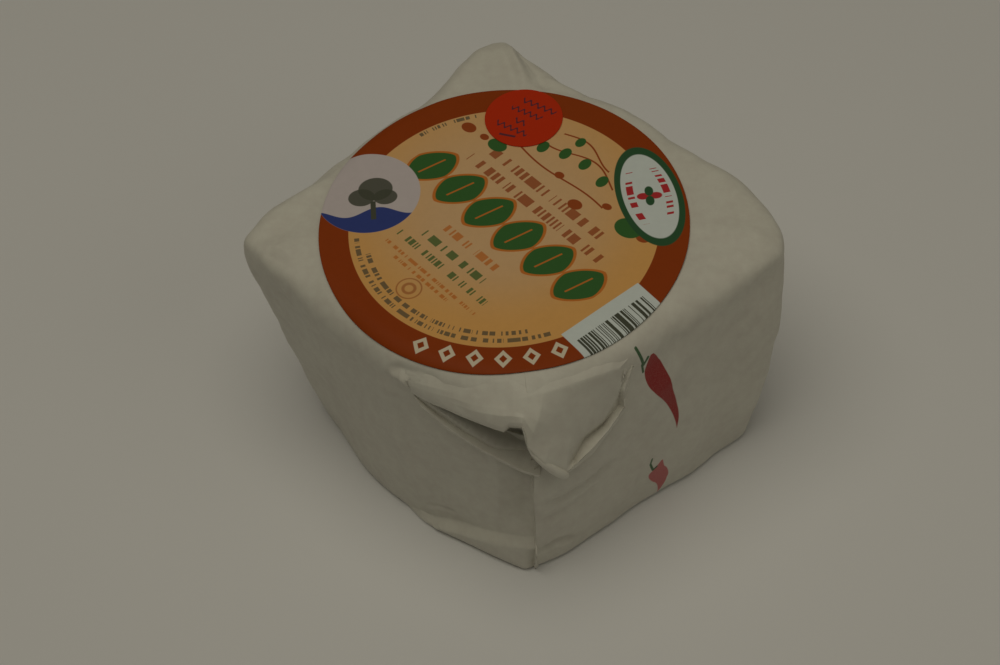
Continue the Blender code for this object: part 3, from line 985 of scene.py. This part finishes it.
def printed_pod(g, across, up, top, tip, half_width, profile):
    """Mask of a printed pepper: a width that follows a profile from its top down to its tip.

    Its middle sways 1 mm to one side above and to the other side below, as one full turn of a sine.
    """
    top_across, tip_across = top[0] * MM_PER_DEGREE, tip[0] * MM_PER_DEGREE
    share = g.math("DIVIDE", g.math("SUBTRACT", top[1], up), top[1] - tip[1])
    width = g.node("ShaderNodeFloatCurve", {"Value": share})
    curve = width.mapping.curves[0]
    for at, value in profile[1:-1]:
        curve.points.new(at, value)
    curve.points[0].location = profile[0]
    curve.points[-1].location = profile[-1]
    width.mapping.update()
    bow = g.math("SINE", g.math("MULTIPLY", share, -2.0 * np.pi))
    middle = g.math("MULTIPLY_ADD", share, tip_across - top_across, top_across)
    middle = g.math("ADD", middle, bow)
    away = g.apart(across, middle)
    inside = g.below(g.math("SUBTRACT", away, g.math("MULTIPLY", width.outputs[0], half_width)), 0.0, 0.15)
    within = g.math("MULTIPLY", g.math("GREATER_THAN", share, 0.0), g.math("LESS_THAN", share, 1.0))
    return g.math("MULTIPLY", inside, within)


def paper_material(colours, groups, printed):
    """Coated white wrapping paper: cloudy grey blotches, fine grain, small wrinkles in the bump.

    The printed one also has the two peppers, placed on the wrap's own map.
    """
    material, g, shader, point = start_material("wrapping paper printed" if printed else "wrapping paper")
    grain = g.group(groups["paper grain"], {"Point": point, "Blotch": 3.2, "Grain": 0.35})
    wide = g.noise(point, 1 / 17.0, detail=2.0, seed=11.0)
    shade = g.math("MULTIPLY_ADD", grain["Blotches"], 1.5, -0.45, clamp=True)
    shade = g.math("MULTIPLY_ADD", g.math("SUBTRACT", wide, 0.5), 0.9, shade, clamp=True)
    colour = g.mix(shade, tuple(colours.paper), tuple(colours.paper_shade))
    if printed:
        pair = g.node("ShaderNodeUVMap", uv_map="wrap").outputs[0]
        turn, height, _ = g.split(g.vector("MULTIPLY", pair, (100.0, 100.0, 0.0)))
        across = g.math("MULTIPLY", turn, MM_PER_DEGREE)
        ink = g.math("MULTIPLY_ADD", grain["Fine"], 0.3, 0.82, clamp=True)
        for pod, pod_ink in ((UPPER_POD, colours.pod), (LOWER_POD, colours.pod_light)):
            mask = g.math("MULTIPLY", printed_pod(g, across, height, *pod), ink)
            colour = g.mix(mask, colour, tuple(pod_ink))
        for stalk_turn, up, lean, half_length, half_width in STALKS:
            centre = (stalk_turn * MM_PER_DEGREE, up, 0.0)
            half = (half_length, half_width, 0.0)
            stalk = g.group(
                groups["bar field"],
                {"Point": g.join(across, height), "Centre": centre, "Turn": lean, "Half": half, "Round": 0.35},
            )
            colour = g.mix(g.math("MULTIPLY", stalk["Mask"], ink), colour, tuple(colours.stalk))
    wrinkle = g.noise(point, 1 / 6.0, detail=3.0, roughness=0.55, seed=5.0)
    height = g.math("ADD", g.math("MULTIPLY", wrinkle, 0.6), g.math("MULTIPLY", grain["Height"], 0.5))
    shader.inputs["Roughness"].default_value = 0.52
    shader.inputs["Specular IOR Level"].default_value = 0.25
    finish_paper(g, shader, colour, height, 0.35, 0.35 * MM)
    return material


def label_material(colours, groups):
    """Printed satin label: a brown-orange rim round a tan field, with plain generic shapes."""
    material, g, shader, point = start_material("label print")
    flat = g.vector("MULTIPLY", point, (1.0, 1.0, 0.0))
    radius = g.length(flat)
    x, y, _ = g.split(flat)
    turn = g.math("MULTIPLY", g.math("ARCTAN2", y, x), 180.0 / np.pi)
    turn = g.math("MODULO", g.math("ADD", turn, 360.0), 360.0)
    grain = g.group(groups["paper grain"], {"Point": point, "Blotch": 2.4, "Grain": 0.3})

    def over(colour, mask, ink):
        return g.mix(mask, colour, tuple(ink))

    def oval(centre, radii, turn_by=0.0):
        return g.group(
            groups["oval field"],
            {"Point": flat, "Centre": (*centre, 0.0), "Turn": turn_by, "Radii": (*radii, 1.0)},
        )

    def bar(centre, half, turn_by=0.0, rounding=0.2, at=flat):
        return g.group(
            groups["bar field"],
            {"Point": at, "Centre": (*centre, 0.0), "Turn": turn_by, "Half": (*half, 0.0), "Round": rounding},
        )

    def ticks(along, tick, gap, seed):
        return g.group(groups["tick row"], {"Along": along, "Tick": tick, "Gap": gap, "Seed": seed})[0]

    def times(*masks):
        total = masks[0]
        for mask in masks[1:]:
            total = g.math("MULTIPLY", total, mask)
        return total

    # Tan field that deepens towards the rim and towards the front, then the rim
    toward = g.math("MULTIPLY_ADD", y, -0.006, g.math("DIVIDE", radius, RING_INSIDE))
    reach = {"Value": toward, "From Min": 0.35, "From Max": 1.1}
    deep = g.node("ShaderNodeMapRange", reach, interpolation_type="SMOOTHSTEP").outputs[0]
    colour = g.mix(deep, tuple(colours.tan), tuple(colours.tan_edge))

    # Rows of print, in a frame turned along the row: x along it and y up
    row = local_point(g, flat, (0.0, 0.0, 0.0), ROW_TURN)
    along, up, _ = g.split(row)

    def row_bar(from_x, to_x, at_y, half_height, rounding=0.2):
        return bar(((from_x + to_x) / 2, at_y), ((to_x - from_x) / 2, half_height), 0.0, rounding, row)[0]

    for from_x, to_x, at_y, half, tick, gap, seed, ink in (
        (-25.0, 23.5, 17.2, 1.7, 0.75, 17.0, 1.0, colours.rust),
        (-27.3, 30.0, 10.9, 1.7, 0.75, 13.0, 2.0, colours.rust),
        (-11.5, 11.3, -13.0, 1.35, 0.65, 15.0, 3.0, colours.leaf_edge),
        (-14.0, 12.1, -18.9, 1.35, 0.62, 13.5, 4.0, colours.leaf),
        (-20.0, 18.7, -24.0, 1.2, 0.5, 19.0, 5.0, colours.leaf),
        (-20.5, 19.4, -28.8, 0.6, 0.38, 6.0, 6.0, colours.leaf_edge),
        (-14.4, 10.1, -31.2, 0.6, 0.38, 6.0, 7.0, colours.leaf_edge),
    ):
        mask = times(row_bar(from_x, to_x, at_y, half), ticks(along, tick, gap, seed))
        colour = over(colour, times(mask, 0.85), ink)

    # Large leaves in a row: a rounded lozenge in each cell, with a thin outline and a midrib
    share = g.math("FRACT", g.math("DIVIDE", along, LEAF_PITCH))
    cell = g.math("MULTIPLY_ADD", share, LEAF_PITCH, -LEAF_PITCH / 2)
    lean = g.math("MULTIPLY_ADD", up, -0.22, cell)
    wide = g.math("POWER", g.math("DIVIDE", g.math("ABSOLUTE", lean), 6.1), 1.55)
    tall = g.math("POWER", g.math("DIVIDE", g.math("ABSOLUTE", up), 8.2), 1.55)
    leaf = g.math("ADD", wide, tall)
    in_row = g.math("LESS_THAN", g.math("ABSOLUTE", along), 3 * LEAF_PITCH)
    colour = over(colour, times(g.below(leaf, 1.12, 0.03), in_row), colours.leaf_edge)
    colour = over(colour, times(g.below(leaf, 0.93, 0.03), in_row), colours.leaf)
    rib = times(g.below(g.math("ABSOLUTE", lean), 0.28, 0.06), g.below(g.math("ABSOLUTE", up), 4.6), in_row)
    colour = over(colour, rib, colours.leaf_edge)

    # Hills as thin lines, with round trees and plain spots
    for base, swell, pace, shift, from_x, to_x in (
        (24.6, 0.9, 0.16, 0.0, -21.0, 16.0),
        (33.5, 2.6, 0.19, 1.2, -18.0, 13.0),
        (38.2, 1.8, 0.24, 3.0, -14.0, 7.0),
    ):
        wave = g.math("MULTIPLY_ADD", g.math("SINE", g.math("MULTIPLY_ADD", along, pace, shift)), swell, base)
        away = g.apart(up, wave)
        line = times(g.below(away, 0.3, 0.1), g.between(along, from_x, to_x))
        colour = over(colour, line, colours.rust)
    for cx, cy, wide_r, tall_r, ink in (
        (-8.0, 40.1, 2.5, 1.9, colours.rust), (-3.5, 35.6, 1.5, 1.2, colours.rust),
        (21.6, 5.3, 2.4, 1.9, colours.rust), (31.0, 3.4, 1.6, 1.2, colours.rust),
        (40.6, -9.4, 2.4, 2.2, colours.rust), (18.0, 17.5, 1.6, 1.3, colours.rust),
        (0.2, 31.8, 3.2, 2.4, colours.leaf), (36.5, -5.6, 4.4, 3.6, colours.leaf),
        (14.0, 29.5, 1.7, 2.4, colours.leaf), (20.5, 26.0, 1.7, 2.4, colours.leaf),
        (26.0, 21.0, 1.7, 2.4, colours.leaf), (25.5, 30.0, 1.5, 2.0, colours.leaf),
        (30.5, 13.5, 1.7, 2.4, colours.leaf),
    ):
        spot = oval((cx, cy), (wide_r, tall_r), ROW_TURN + 10.0)
        colour = over(colour, spot["Mask"], ink)

    # Round stamp outline
    stamp = oval((-29.0, -21.6), (3.9, 3.9))["Reach"]
    ring_line = g.below(g.apart(stamp, 0.95), 0.06, 0.03)
    inner_line = g.below(g.apart(stamp, 0.45), 0.12, 0.05)
    colour = over(colour, times(g.math("MAXIMUM", ring_line, inner_line), 0.6), colours.rust)

    # Fine arcs of ticks inside the rim
    for at_radius, half, from_turn, to_turn, tick, seed in (
        (43.7, 0.75, 181.0, 284.0, 0.42, 11.0),
        (41.1, 0.75, 190.0, 277.0, 0.42, 12.0),
        (44.9, 0.7, 97.0, 121.0, 0.42, 13.0),
    ):
        arc = g.math("MULTIPLY", turn, np.pi / 180.0 * at_radius)
        on_arc = g.below(g.apart(radius, at_radius), half, 0.1)
        span = g.between(turn, from_turn, to_turn)
        colour = over(colour, times(on_arc, span, ticks(arc, tick, 7.0, seed), 0.8), colours.fine_ink)

    # Rim, and the pale lozenges on it towards the front
    colour = over(colour, g.math("SUBTRACT", 1.0, g.below(radius, RING_INSIDE)), colours.ring)
    cells = g.math("DIVIDE", g.math("SUBTRACT", turn, LOZENGES_FROM), LOZENGE_STEP)
    in_cell = g.math("SUBTRACT", g.math("FRACT", cells), 0.5)
    across = g.math("ABSOLUTE", g.math("MULTIPLY", in_cell, np.radians(LOZENGE_STEP) * 50.0))
    away = g.apart(radius, 50.2)
    lozenge = g.math("ADD", g.math("DIVIDE", across, 2.6), g.math("DIVIDE", away, 3.1))
    span = g.between(turn, LOZENGES_FROM, LOZENGES_FROM + LOZENGES * LOZENGE_STEP)
    hollow = times(g.below(lozenge, 1.0, 0.05), g.math("SUBTRACT", 1.0, g.below(lozenge, 0.45, 0.05)))
    colour = over(colour, times(hollow, span), colours.cream_ink)

    # Pale round field with blue hills and a dark round tree
    field = oval((-39.8, 16.7), (15.8, 15.8))
    colour = over(colour, field["Mask"], colours.pale_sky)
    fx, fy, _ = g.split(field["Local"])
    crest = g.math("MULTIPLY_ADD", g.math("SINE", g.math("MULTIPLY_ADD", fx, 0.33, 0.6)), 1.6, -7.6)
    hill = g.below(g.math("SUBTRACT", fy, crest), 0.0)
    colour = over(colour, times(hill, field["Mask"]), colours.hill_blue)
    for cx, cy, wide_r, tall_r in ((-37.5, 18.0, 5.2, 4.6), (-41.8, 15.0, 4.0, 3.4), (-34.6, 14.6, 3.6, 3.0)):
        crown = oval((cx, cy), (wide_r, tall_r))["Mask"]
        colour = over(colour, times(crown, 0.93), colours.fine_ink)
    colour = over(colour, bar((-38.4, 9.6), (0.8, 3.6))["Mask"], colours.fine_ink)

    # Oval badge: green border, white field, a red and green flower, rows of red ticks
    badge = oval(BADGE_AT, (20.0, 9.7), BADGE_TURN)
    colour = over(colour, badge["Mask"], colours.badge)
    white = oval(BADGE_AT, (17.0, 7.9), BADGE_TURN)
    colour = over(colour, white["Mask"], colours.white_ink)
    for sx, sy, ink in ((1.9, 0.0, colours.badge_red), (-1.9, 0.0, colours.badge_red),
                        (0.0, 1.9, colours.badge), (0.0, -1.9, colours.badge)):
        petal = oval((BADGE_AT[0] + sx, BADGE_AT[1] + sy), (1.9, 1.3), 0.0 if sx else 90.0)
        colour = over(colour, petal["Mask"], ink)
    bx, by, _ = g.split(white["Local"])
    for side, seed in ((1.0, 21.0), (-1.0, 22.0)):
        curve = g.math("MULTIPLY_ADD", g.math("MULTIPLY", bx, bx), -0.016 * side, 5.4 * side)
        line = g.below(g.apart(by, curve), 1.05, 0.1)
        span = g.below(g.math("ABSOLUTE", bx), 10.5)
        colour = over(colour, times(line, span, ticks(bx, 0.85, 9.0, seed)), colours.badge_red)

    # White patch with dark bars, cut off by the rim
    patch = bar((28.9, -39.9), (14.4, 6.2), 35.0)
    colour = over(colour, patch["Mask"], colours.white_ink)
    px, py, _ = g.split(patch["Local"])
    cell = g.math("FLOOR", g.math("DIVIDE", px, 0.265))
    chance = g.node("ShaderNodeTexWhiteNoise", {"W": cell}, noise_dimensions="1D").outputs[0]
    bars = g.math("GREATER_THAN", chance, 0.47)
    area = times(g.below(g.math("ABSOLUTE", px), 12.4), g.below(py, 1.6))
    colour = over(colour, times(bars, area, patch["Mask"]), colours.fine_ink)

    tone = g.math("MULTIPLY_ADD", grain["Blotches"], 0.10, 0.95)
    colour = g.mix(1.0, colour, g.join(tone, tone, tone), "MULTIPLY")
    shader.inputs["Roughness"].default_value = 0.55
    shader.inputs["Specular IOR Level"].default_value = 0.12
    finish_paper(g, shader, colour, grain["Height"], 0.15, 0.1 * MM)
    return material


def dot_material(colours, groups):
    """Bright red satin sticker with plain wavy pen strokes."""
    material, g, shader, point = start_material("dot red")
    local = local_point(g, point, (DOT_X / MM, DOT_Y / MM, 0.0), PEN_TURN)
    x, y, _ = g.split(local)
    grain = g.group(groups["paper grain"], {"Point": point, "Blotch": 2.0, "Grain": 0.3})
    colour = g.mix(g.math("MULTIPLY", grain["Blotches"], 0.25), tuple(colours.dot), (0.50, 0.024, 0.003))
    for at_y, from_x, to_x, pace in ((6.4, -4.2, 7.6, 2.6), (2.2, -5.6, 5.0, 2.9), (-2.0, -2.0, 2.0, 2.5),
                                     (-5.6, -6.4, 4.6, 2.7), (-8.6, -3.0, 2.0, 0.4)):
        wobble = g.math("MULTIPLY", g.math("SINE", g.math("MULTIPLY", x, pace)), 0.75)
        away = g.apart(g.math("SUBTRACT", y, at_y), wobble)
        span = g.apart(x, (from_x + to_x) / 2)
        mask = g.math("MULTIPLY", g.below(away, 0.42, 0.12), g.below(span, (to_x - from_x) / 2))
        colour = g.mix(g.math("MULTIPLY", mask, 0.85), colour, tuple(colours.pen))
    shader.inputs["Roughness"].default_value = 0.5
    shader.inputs["Specular IOR Level"].default_value = 0.12
    finish_paper(g, shader, colour, grain["Height"], 0.12, 0.1 * MM)
    return material


def floor_material(colours):
    """Pale matt floor with a barely uneven tone."""
    material, g, shader, point = start_material("pale floor")
    tone = g.math("MULTIPLY_ADD", g.noise(point, 0.004, detail=2.0), 0.06, 0.97)
    colour = g.mix(1.0, tuple(colours.floor), g.join(tone, tone, tone), "MULTIPLY")
    g.feed(shader.inputs["Base Color"], colour)
    shader.inputs["Roughness"].default_value = 0.8
    shader.inputs["Specular IOR Level"].default_value = 0.2
    return material


class CHEESE_OT_paper(bpy.types.Operator):
    """Make the paper wrapped round the cheese"""

    bl_idname = "cheese.paper"
    bl_label = "Paper Wrap"

    def execute(self, context):
        scene = context.scene
        material = paper_material(scene.cheese_colours, shared_groups(), True)
        make_paper_wrap(scene.cheese_sizes, material)
        return {"FINISHED"}


class CHEESE_OT_corner(bpy.types.Operator):
    """Make the loose layers of the folded front corner"""

    bl_idname = "cheese.corner"
    bl_label = "Folded Corner"

    def execute(self, context):
        scene = context.scene
        sizes = scene.cheese_sizes
        material = paper_material(scene.cheese_colours, shared_groups(), False)
        sheet = net_of(SHEET_PICKS)
        root = sheet[:, :1].copy()
        root[..., 1:] = SHEET_ROOT
        make_layer("tucked_band", net_of(TUCK_PICKS), TUCK_GRID, 0.8, sizes, material)
        make_layer("corner_ear", np.concatenate([root, sheet], 1), SHEET_GRID, 0.85, sizes, material)
        make_roll("ear_roll", ROLL_PATH, ROLL_RADII, sizes, material)
        return {"FINISHED"}


class CHEESE_OT_label(bpy.types.Operator):
    """Make the round printed label"""

    bl_idname = "cheese.label"
    bl_label = "Round Label"

    def execute(self, context):
        material = label_material(context.scene.cheese_colours, shared_groups())
        make_disc(
            "round_label", (0.0, 0.0), LABEL_RADIUS, PAPER_GAP, LABEL_THICKNESS, 0.10 * MM, 3,
            material, ("label",),
        )
        return {"FINISHED"}


class CHEESE_OT_dot(bpy.types.Operator):
    """Make the red dot sticker on the label"""

    bl_idname = "cheese.dot"
    bl_label = "Dot Sticker"

    def execute(self, context):
        material = dot_material(context.scene.cheese_colours, shared_groups())
        lift = 2 * PAPER_GAP + LABEL_THICKNESS
        make_disc(
            "red_dot", (DOT_X, DOT_Y), DOT_RADIUS, lift - 0.15 * MM, DOT_THICKNESS, 0.05 * MM, 4,
            material, ("dot_sticker",),
        )
        return {"FINISHED"}


def add_lamp(name, place, power, scene):
    """Soft round lamp at a place, with its -Z pointed at the parcel."""
    lamp = bpy.data.lights.new(name, "AREA")
    lamp.shape = "DISK"
    lamp.size = LAMP_WIDTH
    lamp.energy = power
    lamp.color = tuple(scene.cheese_colours.lamp)
    back = place - np.array(LAMPS_AIM)
    back /= np.linalg.norm(back)
    side = np.cross([0.0, 1.0, 0.0], back)
    side /= np.linalg.norm(side)
    axes = Matrix(np.stack([side, np.cross(back, side), back], 1).tolist()).to_4x4()
    lamp_object = bpy.data.objects.new(name, lamp)
    lamp_object.matrix_world = Matrix.Translation(place) @ axes
    scene.collection.objects.link(lamp_object)


class CHEESE_OT_stage(bpy.types.Operator):
    """Make the floor, the soft light and the camera"""

    bl_idname = "cheese.stage"
    bl_label = "Stage"

    def execute(self, context):
        scene = context.scene
        studio = scene.cheese_studio
        half = studio.floor_size / 2
        at = np.linspace(-half, half, 9)
        x, y = np.meshgrid(at, at)
        mesh = bpy.data.meshes.new("floor")
        points = np.stack([x, y, 0.0 * x], -1).reshape(-1, 3)
        mesh.from_pydata(points.tolist(), [], grid_faces(9, 9, False)[:, ::-1].tolist())
        mesh.materials.append(floor_material(scene.cheese_colours))
        floor = bpy.data.objects.new("floor", mesh)
        scene.collection.objects.link(floor)

        world = bpy.data.worlds.new("studio")
        world.use_nodes = True
        sky = world.node_tree.nodes["Background"]
        sky.inputs[0].default_value = (*scene.cheese_colours.lamp, 1.0)
        sky.inputs[1].default_value = studio.sky
        scene.world = world
        add_lamp("overhead", np.array(OVERHEAD_AT), studio.overhead, scene)
        add_lamp("side fill", np.array(FILL_AT), studio.fill, scene)

        camera = bpy.data.cameras.new("camera")
        camera.lens = CAMERA_LENS
        camera.sensor_width = SENSOR_WIDTH
        camera.clip_start = 0.01
        camera_object = bpy.data.objects.new("camera", camera)
        camera_object.matrix_world = Matrix.Translation(CAMERA_AT) @ camera_axes()
        scene.collection.objects.link(camera_object)
        scene.camera = camera_object
        scene.view_settings.view_transform = "Standard"
        return {"FINISHED"}


class CHEESE_PT_panel(bpy.types.Panel):
    """Sizes, colours and pieces of the wrapped cheese"""

    bl_idname = "CHEESE_PT_panel"
    bl_label = "Wrapped Cheese"
    bl_space_type = "VIEW_3D"
    bl_region_type = "UI"
    bl_category = "Cheese"

    def draw(self, context):
        scene = context.scene
        for settings in (scene.cheese_sizes, scene.cheese_colours, scene.cheese_studio):
            box = self.layout.box()
            for name in settings.bl_rna.properties.keys():
                if name not in ("rna_type", "name"):
                    box.prop(settings, name)
        for step in PIECES:
            self.layout.operator(step.bl_idname)


PIECES = (CHEESE_OT_stage, CHEESE_OT_paper, CHEESE_OT_corner, CHEESE_OT_label, CHEESE_OT_dot)
CLASSES = (ParcelSizes, ParcelColours, StudioSettings, *PIECES, CHEESE_PT_panel)


def register():
    """Registers the classes and puts their settings on the scene."""
    for kind in CLASSES:
        bpy.utils.register_class(kind)
    bpy.types.Scene.cheese_sizes = PointerProperty(type=ParcelSizes)
    bpy.types.Scene.cheese_colours = PointerProperty(type=ParcelColours)
    bpy.types.Scene.cheese_studio = PointerProperty(type=StudioSettings)


def unregister():
    """Takes the settings and the classes away again."""
    del bpy.types.Scene.cheese_studio
    del bpy.types.Scene.cheese_colours
    del bpy.types.Scene.cheese_sizes
    for kind in reversed(CLASSES):
        bpy.utils.unregister_class(kind)


def main():
    """Makes every piece."""
    register()
    bpy.ops.cheese.stage()
    bpy.ops.cheese.paper()
    bpy.ops.cheese.corner()
    bpy.ops.cheese.label()
    bpy.ops.cheese.dot()


if __name__ == "__main__":
    main()
